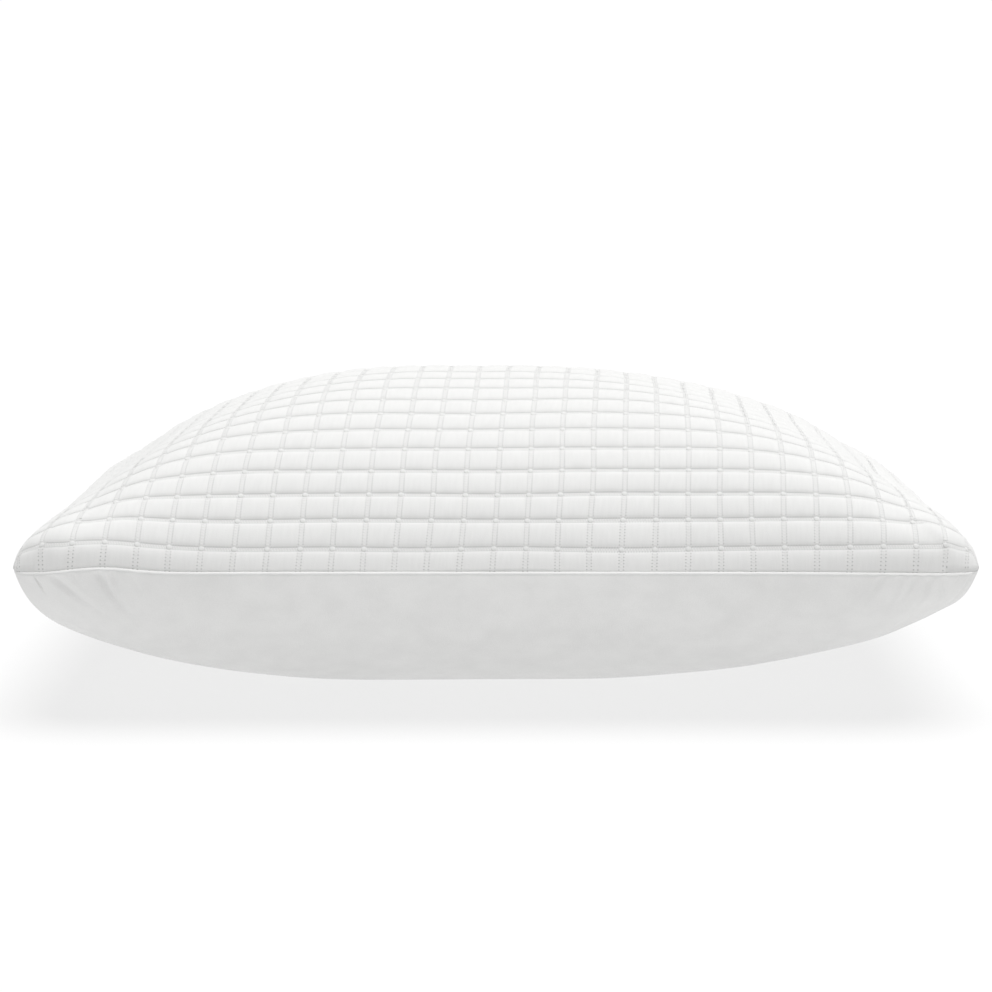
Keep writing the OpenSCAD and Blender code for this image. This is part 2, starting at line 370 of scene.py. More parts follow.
# Plan points where the fabric's u and v lie.
def placeFabric(u, v, readers):
    readU, readV, growU, growV = readers
    u, v = strayed(u, v)
    farX, farY = [half - 2 for half in quilt["gridHalf"]]
    x, y = u * 0.95, v * 0.85 - pillow["halfDepth"] + 20
    for step in range(30):
        x = np.clip(x + 0.8 * (u - readU(x, y)) / growU(x, y), -farX, farX)
        y = np.clip(y + 0.8 * (v - readV(x, y)) / growV(x, y), -farY, farY)
    return x, y


def normalAt(x, y):
    d = 0.6
    slopeX = (upperHeight(x + d, y) - upperHeight(x - d, y)) / (2 * d)
    slopeY = (upperHeight(x, y + d) - upperHeight(x, y - d)) / (2 * d)
    normal = np.stack([-slopeX, -slopeY, np.ones_like(x)], axis=-1)
    return normal / np.linalg.norm(normal, axis=-1, keepdims=True)


def seamDistance(x, y):
    return insetOf(*levelAt(x, y))


# Distance from the nearest stitch line, for places across it.
def fromLine(place):
    cell = place / quilt["square"]
    return np.abs(cell - np.round(cell)) * quilt["square"]


# Height of the quilting over the stitched channels.
def reliefAt(u, v, x, y):
    q = quilt
    cellU, cellV = u / q["square"], v / q["square"]
    up = 1 - q["uprightShare"] * np.exp(-np.maximum(fromLine(u) - q["channel"], 0) / q["shoulder"])
    up = up * growth(fromLine(v) - q["channel"], q["shoulder"])
    dome = np.abs(np.sin(cellU * math.pi) * np.sin(cellV * math.pi))
    plump = np.random.default_rng(5).uniform(0.8, 1.2, (64, 64))
    plump = plump[np.floor(cellU).astype(int) % 64, np.floor(cellV).astype(int) % 64]
    return (q["puff"] * up + q["dome"] * dome * plump) * growth(seamDistance(x, y), q["seamEase"])


def gridFaces(rows, columns):
    j, i = np.meshgrid(np.arange(rows - 1), np.arange(columns - 1), indexing="ij")
    a = (j * columns + i).ravel()
    return np.stack([a, a + 1, a + columns + 1, a + columns], axis=1)


# Indices of the points round the outside of a grid.
def rimLoop(rows, columns):
    index = np.arange(rows * columns).reshape(rows, columns)
    return np.concatenate([index[0, :-1], index[:-1, -1], index[-1, :0:-1], index[:0:-1, 0]])


def makeTopPanel(readers):
    q = quilt
    half = q["cuts"]
    cell = list(half) + [q["square"] - c for c in half[-2:0:-1]]
    lineU = np.array([k * q["square"] + c for k in range(-q["across"], q["across"]) for c in cell])
    lineV = np.array([k * q["square"] + c for k in range(-1, q["lines"]) for c in cell])
    u, v = np.meshgrid(lineU, lineV)
    x, y = placeFabric(u, v, readers)
    a, b, reach = levelAt(x, y)
    outside = reach > q["rim"]
    faces = gridFaces(*u.shape)
    keep = ~outside.ravel()[faces].all(axis=1)
    pushedX, pushedY = planAt(a / reach.clip(0.5), b / reach.clip(0.5))
    x, y = np.where(outside, pushedX, x), np.where(outside, pushedY, y)
    normal = normalAt(x, y)
    relief = reliefAt(u, v, x, y) * ~outside
    points = np.stack([x, y, upperHeight(x, y)], axis=-1) + normal * relief[..., None] + topSettled(x, y)
    points, uv = points.reshape(-1, 3), np.stack([u, v], axis=-1).reshape(-1, 2)
    faces = faces[keep]
    edges = np.concatenate([faces[:, [k, (k + 1) % 4]] for k in range(4)])
    key = np.sort(edges, axis=1)
    first, uses = np.unique(key, axis=0, return_index=True, return_counts=True)[1:]
    rim = edges[first[uses == 1]]
    rimPoints = np.unique(rim)
    turned = np.full(len(points), -1)
    turned[rimPoints] = len(points) + np.arange(len(rimPoints))
    inward = points[rimPoints].copy()
    length = np.linalg.norm(inward[:, :2], axis=1, keepdims=True)
    inward[:, :2] *= (length - q["turnedIn"]) / length
    points = np.concatenate([points, inward])
    uv = np.concatenate([uv, uv[rimPoints] * 0.98])
    strip = np.stack([rim[:, 1], rim[:, 0], turned[rim[:, 0]], turned[rim[:, 1]]], axis=1)
    faces = np.concatenate([faces, strip])
    used = np.unique(faces)
    renumber = np.zeros(len(points), int)
    renumber[used] = np.arange(len(used))
    return meshPiece("topPanel", points[used], renumber[faces].tolist(), uv[used])


stitch = {
    "uprightPitch": 2.1,      # bar to bar along an upright channel
    "levelPitch": 1.75,       # and along a level one
    "span": 2.9,              # length of a bar across the channel
    "thread": 0.62,           # its width
    "rise": 0.12,             # its height at the middle
    "lift": 0.03,             # how far it lies over the cloth
    "tackRadius": 2.1,
    "tackHeight": 0.42,
    "edgeGap": 1.5,           # the stitches stop this far from the seam
    "probe": 0.8,             # step along the fabric that gives a bar its direction
    "hole": (0.12, 0.45),     # painted shade of a needle hole: its dark middle and its rim, from its centre
    "holeShort": 0.6,         # measure across the channel against that along it
    "uprightShade": 0.1,      # painted shade of the upright channels against the level ones
}


# sRGB hex to the linear colour that a socket takes.
def linear(hexColour):
    parts = [int(hexColour[i:i + 2], 16) / 255 for i in (1, 3, 5)]
    return [c / 12.92 if c < 0.04045 else ((c + 0.055) / 1.055) ** 2.4 for c in parts] + [1.0]


# Add a node, set its properties, and set or link its inputs, which are given by name.
def addNode(tree, kind, settings=None, **inputs):
    node = tree.nodes.new(kind)
    for name, value in (settings or {}).items():
        setattr(node, name, value)
    for name, value in inputs.items():
        spot = int(name[1:]) if name[0] == "i" and name[1:].isdigit() else name.replace("_", " ")
        if isinstance(value, bpy.types.NodeSocket):
            tree.links.new(value, node.inputs[spot])
        else:
            node.inputs[spot].default_value = value
    return node


def startMaterial(name, **shader):
    material = bpy.data.materials.new(name)
    material.use_nodes = True
    tree = material.node_tree
    tree.nodes.clear()
    surface = addNode(tree, "ShaderNodeBsdfPrincipled", **shader)
    output = addNode(tree, "ShaderNodeOutputMaterial")
    tree.links.new(surface.outputs["BSDF"], output.inputs["Surface"])
    return material, tree, surface


def mixedColour(tree, factor, first, second):
    mix = addNode(tree, "ShaderNodeMix", {"data_type": "RGBA"}, Factor=factor)
    for spot, colour in ((6, first), (7, second)):
        if isinstance(colour, bpy.types.NodeSocket):
            tree.links.new(colour, mix.inputs[spot])
        else:
            mix.inputs[spot].default_value = linear(colour)
    return mix.outputs[2]


def colourBetween(tree, surface, factor, dark, light):
    tree.links.new(mixedColour(tree, factor, dark, light), surface.inputs["Base Color"])


def noise(tree, place, scale, detail, **more):
    return addNode(tree, "ShaderNodeTexNoise", Vector=place, Scale=scale, Detail=detail,
                   **more).outputs["Fac"]


def bumpWith(tree, surface, height, strength, distance, **more):
    bump = addNode(tree, "ShaderNodeBump", Height=height, Strength=strength, Distance=distance, **more)
    tree.links.new(bump.outputs["Normal"], surface.inputs["Normal"])


# Coordinates with a different scale along each axis, in repeats for each metre.
def scaledMap(tree, source, scale):
    return addNode(tree, "ShaderNodeMapping", Vector=source, Scale=scale).outputs["Vector"]


# 1 in the holes where a ladder's threads enter the cloth on both sides of its channel, where the holes'
# shade is painted into the colour.
def needleHoleShade(tree, fabric, pitch, upright):
    def reckon(operation, first, second, third=0.0):
        return addNode(tree, "ShaderNodeMath", {"operation": operation}, i0=first, i1=second,
                       i2=third).outputs[0]
    split = addNode(tree, "ShaderNodeSeparateXYZ", Vector=scaledMap(tree, fabric, (1000, 1000, 1)))
    across, along = split.outputs["X" if upright else "Y"], split.outputs["Y" if upright else "X"]
    side = reckon("SUBTRACT", reckon("PINGPONG", across, quilt["square"] / 2), stitch["span"] / 2)
    side = reckon("MULTIPLY", side, stitch["holeShort"])
    step = reckon("SUBTRACT", pitch / 2, reckon("PINGPONG", along, pitch / 2))
    square = reckon("ADD", reckon("MULTIPLY", side, side), reckon("MULTIPLY", step, step))
    away = reckon("SQRT", square, 0.0)
    return addNode(tree, "ShaderNodeMapRange", Value=away, From_Min=stitch["hole"][0],
                   From_Max=stitch["hole"][1], To_Min=1.0, To_Max=0.0).outputs["Result"]


def makeQuiltedJersey():
    # Cotton-rich quilted jersey: matt, softly furred, with the faint upright ribs of the knit.
    material, tree, surface = startMaterial("quilted jersey, knitted and brushed", Roughness=0.88,
                                            Sheen_Weight=0.12, Sheen_Roughness=0.5)
    fabric = addNode(tree, "ShaderNodeUVMap", {"uv_map": "fabricMap"}).outputs["UV"]
    channel = addNode(tree, "ShaderNodeAttribute", {"attribute_name": "channel"}).outputs["Fac"]
    # The real knit has a wale every 0.7 mm: they are drawn 1.6 mm apart, so that they show.
    streaks = noise(tree, scaledMap(tree, fabric, (420, 70, 1)), 1.0, 3.0)
    cloudy = noise(tree, scaledMap(tree, fabric, (70, 70, 1)), 1.0, 3.0)
    plain = mixedColour(tree, cloudy, "#E0E0DF", "#E4E4E3")
    ribbed = mixedColour(tree, addNode(tree, "ShaderNodeMapRange", Value=streaks, From_Min=0.35,
                                       From_Max=0.65).outputs["Result"], "#DFDFDE", plain)
    # Painted shade: the channel mask draws the cloth's colour towards #CACAC9 in the stitched channels.
    shaded = addNode(tree, "ShaderNodeMath", {"operation": "MULTIPLY"}, i0=channel, i1=0.3)
    holeShade = addNode(tree, "ShaderNodeMath", {"operation": "MAXIMUM", "use_clamp": True},
                      i0=needleHoleShade(tree, fabric, stitch["uprightPitch"], True),
                      i1=needleHoleShade(tree, fabric, stitch["levelPitch"], False))
    shadedCloth = mixedColour(tree, shaded.outputs[0], ribbed, "#CACAC9")
    # Painted shade: the needle holes darken the cloth's colour to #A2A2A1.
    colourBetween(tree, surface, holeShade.outputs[0], shadedCloth, "#A2A2A1")
    loops = noise(tree, scaledMap(tree, fabric, (1300, 900, 1)), 1.0, 2.0)
    fine = addNode(tree, "ShaderNodeBump", Height=loops, Strength=0.3, Distance=0.2 * mm)
    bumpWith(tree, surface, streaks, 0.12, 0.3 * mm, Normal=fine.outputs["Normal"])
    return material


# A brushed or felted surface in two close shades, with a nap of the given size in mm.
def makeNapped(name, dark, light, napSize, bumpHeight, roughness=0.92, sheen=0.2):
    material, tree, surface = startMaterial(name, Roughness=roughness, Sheen_Weight=sheen,
                                            Sheen_Roughness=0.55)
    place = addNode(tree, "ShaderNodeTexCoord").outputs["Object"]
    nap = noise(tree, place, 1 / (napSize * mm), 4.0, Roughness=0.65)
    broad = noise(tree, place, 1 / (napSize * 25 * mm), 3.0)
    both = addNode(tree, "ShaderNodeMath", {"operation": "ADD"}, i0=nap, i1=broad).outputs[0]
    spread = addNode(tree, "ShaderNodeMapRange", Value=both, From_Min=0.75, From_Max=1.25)
    colourBetween(tree, surface, spread.outputs["Result"], dark, light)
    bumpWith(tree, surface, nap, 0.6, bumpHeight * mm)
    return material


# Plain weave with the given thread spacing in mm.
def makeWoven(name, dark, light, thread, roughness=0.7, sheen=0.1):
    material, tree, surface = startMaterial(name, Roughness=roughness, Sheen_Weight=sheen)
    place = addNode(tree, "ShaderNodeTexCoord").outputs["Object"]
    waves = [addNode(tree, "ShaderNodeTexWave", {"bands_direction": way}, Vector=place,
                     Scale=0.314 / (thread * mm), Distortion=0.6).outputs["Fac"] for way in "XZ"]
    weave = addNode(tree, "ShaderNodeMath", {"operation": "MAXIMUM"}, i0=waves[0], i1=waves[1])
    colourBetween(tree, surface, weave.outputs[0], dark, light)
    bumpWith(tree, surface, weave.outputs[0], 0.5, thread * 0.3 * mm)
    return material


# Moulded, drawn or plated stuff with slight wear in its shade and gloss.
def makeHard(name, dark, light, roughness, metallic=0.0, grain=0.6):
    material, tree, surface = startMaterial(name, Metallic=metallic)
    place = addNode(tree, "ShaderNodeTexCoord").outputs["Object"]
    wear = noise(tree, place, 1 / (grain * mm), 4.0)
    colourBetween(tree, surface, wear, dark, light)
    gloss = addNode(tree, "ShaderNodeMapRange", Value=wear, To_Min=roughness * 0.8,
                    To_Max=roughness * 1.25)
    tree.links.new(gloss.outputs["Result"], surface.inputs["Roughness"])
    bumpWith(tree, surface, wear, 0.2, 0.04 * mm)
    return material


quiltedJersey = makeQuiltedJersey()
# Polyester fleece jersey: a dull nap in two close whites.
brushedJersey = makeNapped("polyester jersey, brushed", "#DEDEDD", "#E5E5E4", 0.8, 0.3)
# Spun polyester sewing thread: a little brighter and smoother than the knit.
sewingThread = makeHard("polyester thread, spun", "#E3E3E2", "#E9E9E8", 0.7, grain=0.5)
# The tacks' thread is painted a little darker than a single one, as painted shade of the deep crossings
# where they sit and of their tightly packed thread.
shadedTackThread = makeHard("polyester thread, tacked", "#D9D9D8", "#DFDFDE", 0.8, grain=0.5)
# Bonded polyester wadding: loose matt fleece.
bondedWadding = makeNapped("polyester wadding, bonded", "#E8E8E4", "#F4F4F0", 2.5, 0.8)
# Spunbonded backing cloth behind the quilting.
spunbondBacking = makeWoven("polypropylene backing, spunbonded", "#E2E2E0", "#EEEEEC", 0.8)
# Plain woven cotton lining that holds the filling.
wovenLiner = makeWoven("cotton liner, plain woven", "#DDDCD6", "#ECEBE6", 0.6)
# Hollow siliconised fibre in clumps.
looseFibre = makeNapped("polyester fibre, carded", "#E9E9E6", "#F8F8F6", 3.5, 1.2)
# Dense ribbed polyester zip tape.
zipTape = makeWoven("polyester zip tape, ribbed", "#DADBDC", "#ECEDED", 0.5, roughness=0.6)
# Nylon monofilament, drawn and coiled: a soft plastic gloss.
drawnNylon = makeHard("nylon coil, drawn", "#E2E3E4", "#F0F1F1", 0.34, grain=1.2)
# Zinc diecasting with a dull nickel plate.
platedZinc = makeHard("zinc, diecast and plated", "#B9BABC", "#D3D4D6", 0.28, metallic=1.0)
# Satin ribbon with cut ends, left blank.
satinLabel = makeWoven("polyester satin label, woven", "#EDEDEB", "#F8F8F6", 0.35, roughness=0.38)
print("materials made")


def putMaterial(piece, material):
    piece.data.materials.clear()
    piece.data.materials.append(material)
    return piece


hem = {
    "creaseScale": 2.6,
    # Creases under the front seam: place along X, slant, length, depth and width.
    "creases": ((-259, 0.08, 26, 1.2, 2.4), (-249, -0.2, 20, 0.8, 2.0), (-290, 0.5, 24, 1.1, 2.6),
                (-277, 0.3, 10, 0.6, 2.0), (-303, 0.2, 12, 0.6, 2.0), (-238, 0.1, 16, 0.4, 2.2),
                (251, 0.0, 16, 0.7, 2.0), (262, 0.3, 20, 0.9, 2.2), (272, 0.1, 15, 0.8, 1.8),
                (281, 0.35, 22, 0.9, 2.4), (291, 0.5, 15, 0.7, 2.2), (-20, 0.9, 14, 0.25, 2.0),
                (12, 1.1, 15, 0.3, 2.0), (44, 1.0, 13, 0.22, 2.2), (180, 0.4, 12, 0.2, 2.4),
                (-150, -0.3, 12, 0.25, 2.5)),
    "columns": 200,
    "rows": 105,
    "rollDrop": 2.2,          # where the rolled edge starts below the seam
    "fallRates": (1803.6, 345.6),    # mm that the underside falls for a unit of reach at the seam
    "rollRadius": 1.9,
    "rollOut": 0.2,           # its middle lies this far outside the seam
    "flatPast": 42.0,         # the edge is pressed flat along the zip and this far past it
    "flatDraw": 2.2,          # there it is drawn in
    "flatDown": 0.8,          # and down
    "endDraw": 2.6,           # how far the roll is drawn in at the two ends
    "rollDown": 1.0,          # and its middle below the seam
    "rollFrom": -15.0,        # degrees of its round from which
    "rollTo": 150.0,          # to which it is drawn
    "rollSteps": 7,
    "turnedIn": (4.0, 9.0),   # rings of the seam allowance behind it
    "creaseStart": 2.5,       # mm below the seam over which a crease deepens
    # Seeded creases round each corner: how many, and how far they scatter.
    "cornerCreases": 9,
    "cornerScatter": 60,
    "bulgeDepth": 9.0,        # mm below the roll over which the panel joins it
}


def makeBottomPanel():
    h = hem
    s, t = np.meshgrid(easedLine(h["columns"], 0.8), easedLine(h["rows"], 0.8))
    c = s * s / np.maximum(s * s + t * t, 1e-12)
    trim = 1 - h["rollDrop"] / (c * h["fallRates"][0] + (1 - c) * h["fallRates"][1])
    x, y, z, reach = lowerSurface(s * trim, t * trim)
    rimS, rimT = np.where(reach > 1e-9, s, 1.0) / reach.clip(1e-9), t / reach.clip(1e-9)
    rimReach = np.maximum(np.abs(rimS), np.abs(rimT))
    rimS, rimT = rimS / rimReach.clip(1e-9), rimT / rimReach.clip(1e-9)
    seamX, seamY, seamZ = lowerSurface(rimS, rimT)[:3]
    outX, outY = outwardAt(seamX, seamY)
    startX, startY, startZ = rollPoint(seamX, seamY, seamZ, outX, outY, h["rollFrom"])
    endX, endY, endZ = lowerSurface(rimS * trim, rimT * trim)[:3]
    weight = np.exp(-np.maximum(endZ - z, 0) / h["bulgeDepth"])
    x, y, z = x + (startX - endX) * weight, y + (startY - endY) * weight, z + (startZ - endZ) * weight
    uneven = ripple(x, y + z, 21, 14) * 0.15 + ripple(x + z, y, 22, 60) * 0.8
    uneven = uneven * (1 - weight) * np.clip(z / 12, 0, 1)
    uneven = uneven - puckersAt(rimS, rimT, seamX, seamY, seamZ - z)
    x, y = x + outX * uneven, y + outY * uneven
    rows, columns = s.shape
    settled = settleBase(s, t) * (1 - weight)[..., None]
    points = [(np.stack([x, y, z], axis=-1) + settled).reshape(-1, 3)]
    faces = [gridFaces(rows, columns)[:, ::-1]]
    loop = rimLoop(rows, columns)
    loopArrays = [field.ravel()[loop] for field in (seamX, seamY, seamZ, outX, outY)]
    last, count = loop, rows * columns
    angles = np.linspace(h["rollFrom"], h["rollTo"], h["rollSteps"] + 1)[1:]
    rings = [np.stack(rollPoint(*loopArrays, angle), axis=-1) for angle in angles]
    for inward in h["turnedIn"]:
        ring = rings[-1].copy()
        ring[:, 0] -= loopArrays[3] * inward
        ring[:, 1] -= loopArrays[4] * inward
        rings.append(ring)
    for ring in rings:
        now = count + np.arange(len(loop))
        points.append(ring)
        faces.append(np.stack([last, np.roll(last, -1), np.roll(now, -1), now], axis=1))
        last, count = now, count + len(loop)
    return meshPiece("bottomPanel", np.concatenate(points), np.concatenate(faces).tolist())


# Depth of the creases that hang from the seam, most of them near the corners.
def puckersAt(rimS, rimT, seamX, seamY, below):
    side, front = pillow["halfWidth"], pillow["halfDepth"]
    way = np.where(rimT <= -1 + 1e-6, seamX, np.where(rimS > 1 - 1e-6, side + front + seamY, 0))
    way = np.where(rimS < -1 + 1e-6, -side - front - seamY, way)
    way = np.where(rimT > 1 - 1e-6, side * 2 + front * 2 - seamX, way)
    draw = np.random.default_rng(41)
    creases = list(hem["creases"])
    for corner in (side, side + 2 * front, -side - 2 * front, -side, 2 * side + 2 * front):
        for n in range(hem["cornerCreases"]):
            spot = corner + draw.normal(0, hem["cornerScatter"])
            if abs(spot) > side - 15:
                creases.append((spot, draw.normal(0, 0.3), draw.uniform(9, 26),
                                draw.uniform(0.3, 0.9), draw.uniform(1.6, 2.6)))
    depth = np.zeros_like(below)
    below = np.maximum(below, 0)
    for at, slant, length, deep, width in creases:
        across = (way - at - slant * below) / width
        fade = growth(below, hem["creaseStart"]) * bell(below, 0, length)
        depth += hem["creaseScale"] * deep * np.exp(-across ** 2) * fade
    return depth


# Level direction square to the seam at points on it.
def outwardAt(x, y):
    d = 0.5
    stepX = levelAt(x + d, y)[2] - levelAt(x - d, y)[2]
    stepY = levelAt(x, y + d)[2] - levelAt(x, y - d)[2]
    size = np.hypot(stepX, stepY).clip(1e-9)
    return stepX / size, stepY / size


def rollPoint(seamX, seamY, seamZ, outX, outY, angle):
    h = hem
    flat = np.clip((pillow["zipHalf"] + h["flatPast"] - np.abs(seamX)) / 12, 0, 1) * (outY > 0.5)
    out = h["rollOut"] - h["endDraw"] * outX ** 2 - h["flatDraw"] * flat
    out = out + h["rollRadius"] * math.cos(math.radians(angle))
    up = h["rollRadius"] * math.sin(math.radians(angle)) - h["rollDown"] - h["flatDown"] * flat
    return seamX + outX * out, seamY + outY * out, seamZ + up


def makeShell(name, surface, depth, columns, rows, material):
    s, t = np.meshgrid(easedLine(columns, 0.8), easedLine(rows, 0.8))
    x, y, z = surface(s, t, depth)[:3]
    faces = gridFaces(*s.shape)
    if surface is lowerSurface:
        faces = faces[:, ::-1]
    settled = settleTop(s, t) if surface is upperSurface else settleBase(s, t)
    piece = meshPiece(name, (np.stack([x, y, z], axis=-1) + settled).reshape(-1, 3), faces.tolist())
    return putMaterial(piece, material)


# Store how deep each point lies in a stitched channel, as the mask for the shade painted into the
# jersey's colour there.
def addChannelShadeMask(piece):
    mesh = piece.data
    uv = np.zeros(len(mesh.loops) * 2)
    mesh.uv_layers["fabricMap"].data.foreach_get("uv", uv)
    corner = np.zeros(len(mesh.loops), np.int32)
    mesh.loops.foreach_get("vertex_index", corner)
    at = np.zeros((len(mesh.vertices), 2))
    at[corner] = uv.reshape(-1, 2) / mm
    # The painted shade is full by the stitch line and gone 2.6 mm from it; the upright channels are
    # hardly shaded.
    shadeMask = (np.clip(1.3 - fromLine(at) / 2.0, 0, 1) * (stitch["uprightShade"], 1)).max(axis=1)
    mesh.attributes.new("channel", "FLOAT", "POINT").data.foreach_set("value", shadeMask.astype(np.float32))


swelling = {
    "columns": 56,
    "rows": 38,
    "frames": 20,
    "pressure": 4.0,
    "stiffness": 12.0,
    "bending": 0.4,
    "spare": -0.05,           # how much longer the fabric is near the seam than its place there
    "broad": 60,              # rounds of smoothing that stand for the filling's own form
    "most": 3.5,              # mm that a point may move
}


# Fills the cover as cloth and returns how the top and the underside settle, as tables.
def relaxCloth():
    c = swelling
    across, along = easedLine(c["columns"], 0.5), easedLine(c["rows"], 0.5)
    s, t = np.meshgrid(across, along)
    rest = [np.stack(surface(s, t)[:3], axis=-1) for surface in (upperSurface, lowerSurface)]
    rows, columns = s.shape
    index = np.arange(rows * columns).reshape(rows, columns)
    under = index + rows * columns
    edge = np.maximum(np.abs(s), np.abs(t)) > 1 - 1e-9
    under = np.where(edge, index, under)
    faces = gridFaces(rows, columns)
    lower = under.ravel()[faces][:, ::-1]
    points = np.concatenate([rest[0].reshape(-1, 3), rest[1].reshape(-1, 3)])
    used, place = np.unique(np.concatenate([faces, lower]), return_inverse=True)
    shell = meshPiece("clothShell", points[used], place.reshape(-1, 4).tolist())
    reach = np.maximum(np.abs(s), np.abs(t)).ravel()
    reach = np.concatenate([reach, reach])[used]
    height = points[used, 2]
    hold, loose = shell.vertex_groups.new(name="hold"), shell.vertex_groups.new(name="loose")
    for i in range(len(used)):
        hold.add([i], 1.0 if reach[i] > 1 - 1e-9 or height[i] < 2 else 0.0, "REPLACE")
        loose.add([i], float(np.clip((reach[i] - 0.5) * 2, 0, 1)), "REPLACE")
    cloth = shell.modifiers.new("cloth", "CLOTH")
    k = cloth.settings
    k.quality = 6
    k.mass = 0.3
    k.tension_stiffness = k.compression_stiffness = c["stiffness"]
    k.shear_stiffness = c["stiffness"] / 3
    k.bending_stiffness = c["bending"]
    k.use_pressure = True
    k.uniform_pressure_force = c["pressure"]
    k.effector_weights.gravity = 0
    k.vertex_group_mass = "hold"
    k.vertex_group_shrink = "loose"
    k.shrink_min = 0.0
    k.shrink_max = c["spare"]
    cloth.point_cache.frame_end = c["frames"]
    for frame in range(1, c["frames"] + 1):
        bpy.context.scene.frame_set(frame)
    seen = shell.evaluated_get(bpy.context.evaluated_depsgraph_get())
    moved = np.zeros(len(used) * 3)
    seen.data.vertices.foreach_get("co", moved)
    shift = np.zeros_like(points)
    shift[used] = moved.reshape(-1, 3) / mm - points[used]
    bpy.data.objects.remove(shell)
    bpy.context.scene.frame_set(1)
    readersOut = []
    for side in (index, under):
        table = shift[side.ravel()].reshape(rows, columns, 3)
        size = np.linalg.norm(table, axis=-1)
        print("cloth settled by up to %.1f mm, mean %.2f" % (size.max(), size.mean()))
        table = table - smoothed(table, c["broad"])
        table = smoothed(table, 1)
        size = np.linalg.norm(table, axis=-1, keepdims=True).clip(1e-9)
        table *= np.minimum(size, c["most"]) / size
        table *= np.clip((1 - np.maximum(np.abs(s), np.abs(t))) * 40, 0, 1)[..., None]
        readersOut.append(shiftReader(across, along, table))
    return readersOut


# The table with each cell averaged with its neighbours a number of times.
def smoothed(table, rounds):
    table = table.copy()
    for step in range(rounds):
        table[1:-1] = (table[:-2] + 2 * table[1:-1] + table[2:]) / 4
        table[:, 1:-1] = (table[:, :-2] + 2 * table[:, 1:-1] + table[:, 2:]) / 4
    return table


# Reads a table of shifts, on uneven grid lines, at s and t.
def shiftReader(across, along, table):
    def read(s, t):
        return readTable(table, np.interp(s, across, np.arange(len(across))),
                         np.interp(t, along, np.arange(len(along))))
    return read


# How the cloth settles at plan points of the top.
def topSettled(x, y):
    a, b, reach = levelAt(x, y)
    size = largerOf(a, b)
    return settleTop(a / size * reach.clip(0, 1), b / size * reach.clip(0, 1))


# The piece takes the place of a node and moves with the cover.
def standFor(piece, node):
    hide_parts(node)
    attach(piece, "cover")


settleTop, settleBase = relaxCloth()
readers = layFabric()
topPanel = putMaterial(makeTopPanel(readers), quiltedJersey)
addChannelShadeMask(topPanel)
print("quilted panel:", len(topPanel.data.polygons), "faces")
bottomPanel = putMaterial(makeBottomPanel(), brushedJersey)
print("bottom panel:", len(bottomPanel.data.polygons), "faces")

standFor(topPanel, "top_panel_face")
standFor(bottomPanel, "bottom_panel")


# Bare points that carry directions, for Geometry Nodes to set shapes on.
def pointCloud(name, places, **directions):
    mesh = bpy.data.meshes.new(name)
    mesh.vertices.add(len(places))
    mesh.vertices.foreach_set("co", (np.asarray(places) * mm).astype(np.float32).ravel())
    for key, values in directions.items():
        layer = mesh.attributes.new(key, "FLOAT_VECTOR", "POINT")
        layer.data.foreach_set("vector", np.asarray(values, np.float32).ravel())
    return newObject(name, mesh)


# Sets a small shape on every point, its X along "across" and its Z along "up".
def repeatTree(shape, material):
    tree = bpy.data.node_groups.new("repeat " + shape.name, "GeometryNodeTree")
    tree.interface.new_socket("Geometry", in_out="INPUT", socket_type="NodeSocketGeometry")
    for label, value in (("Length scale", 1.0), ("Width scale", 1.0), ("Height scale", 1.0)):
        socket = tree.interface.new_socket(label, in_out="INPUT", socket_type="NodeSocketFloat")
        socket.default_value = value
    tree.interface.new_socket("Geometry", in_out="OUTPUT", socket_type="NodeSocketGeometry")
    start = addNode(tree, "NodeGroupInput").outputs
    source = addNode(tree, "GeometryNodeObjectInfo", Object=shape).outputs["Geometry"]
    across, up = [addNode(tree, "GeometryNodeInputNamedAttribute", {"data_type": "FLOAT_VECTOR"},
                          Name=key).outputs["Attribute"] for key in ("across", "up")]
    turned = addNode(tree, "FunctionNodeAxesToRotation",
                     {"primary_axis": "Z", "secondary_axis": "X"}, i0=up, i1=across)
    size = addNode(tree, "ShaderNodeCombineXYZ", X=start["Length scale"], Y=start["Width scale"],
                   Z=start["Height scale"])
    placed = addNode(tree, "GeometryNodeInstanceOnPoints", Points=start["Geometry"],
                     Instance=source, Rotation=turned.outputs[0], Scale=size.outputs[0])
    real = addNode(tree, "GeometryNodeRealizeInstances", Geometry=placed.outputs["Instances"])
    finish = addNode(tree, "GeometryNodeSetMaterial", Geometry=real.outputs["Geometry"],
                     Material=material)
    smooth = addNode(tree, "GeometryNodeSetShadeSmooth", Geometry=finish.outputs["Geometry"])
    end = addNode(tree, "NodeGroupOutput")
    tree.links.new(smooth.outputs[0], end.inputs["Geometry"])
    return tree


# Runs the tree once and returns a plain mesh piece in place of the points.
def repeatOnPoints(cloud, shape, material, sizes=(1.0, 1.0, 1.0)):
    tree = repeatTree(shape, material)
    modifier = cloud.modifiers.new("repeat", "NODES")
    modifier.node_group = tree
    inputs = [item for item in tree.interface.items_tree
              if item.in_out == "INPUT" and item.socket_type == "NodeSocketFloat"]
    for item, value in zip(inputs, sizes):
        modifier[item.identifier] = value
    bpy.context.view_layer.update()
    seen = cloud.evaluated_get(bpy.context.evaluated_depsgraph_get())
    mesh = bpy.data.meshes.new_from_object(seen)
    name = cloud.name
    bpy.data.objects.remove(cloud)
    return newObject(name, mesh)


# A small shape for the trees, kept out of the scene.
def sourceShape(name, points, faces):
    mesh = bpy.data.meshes.new(name)
    mesh.from_pydata((np.asarray(points) * mm).tolist(), [], faces)
    return bpy.data.objects.new(name, mesh)


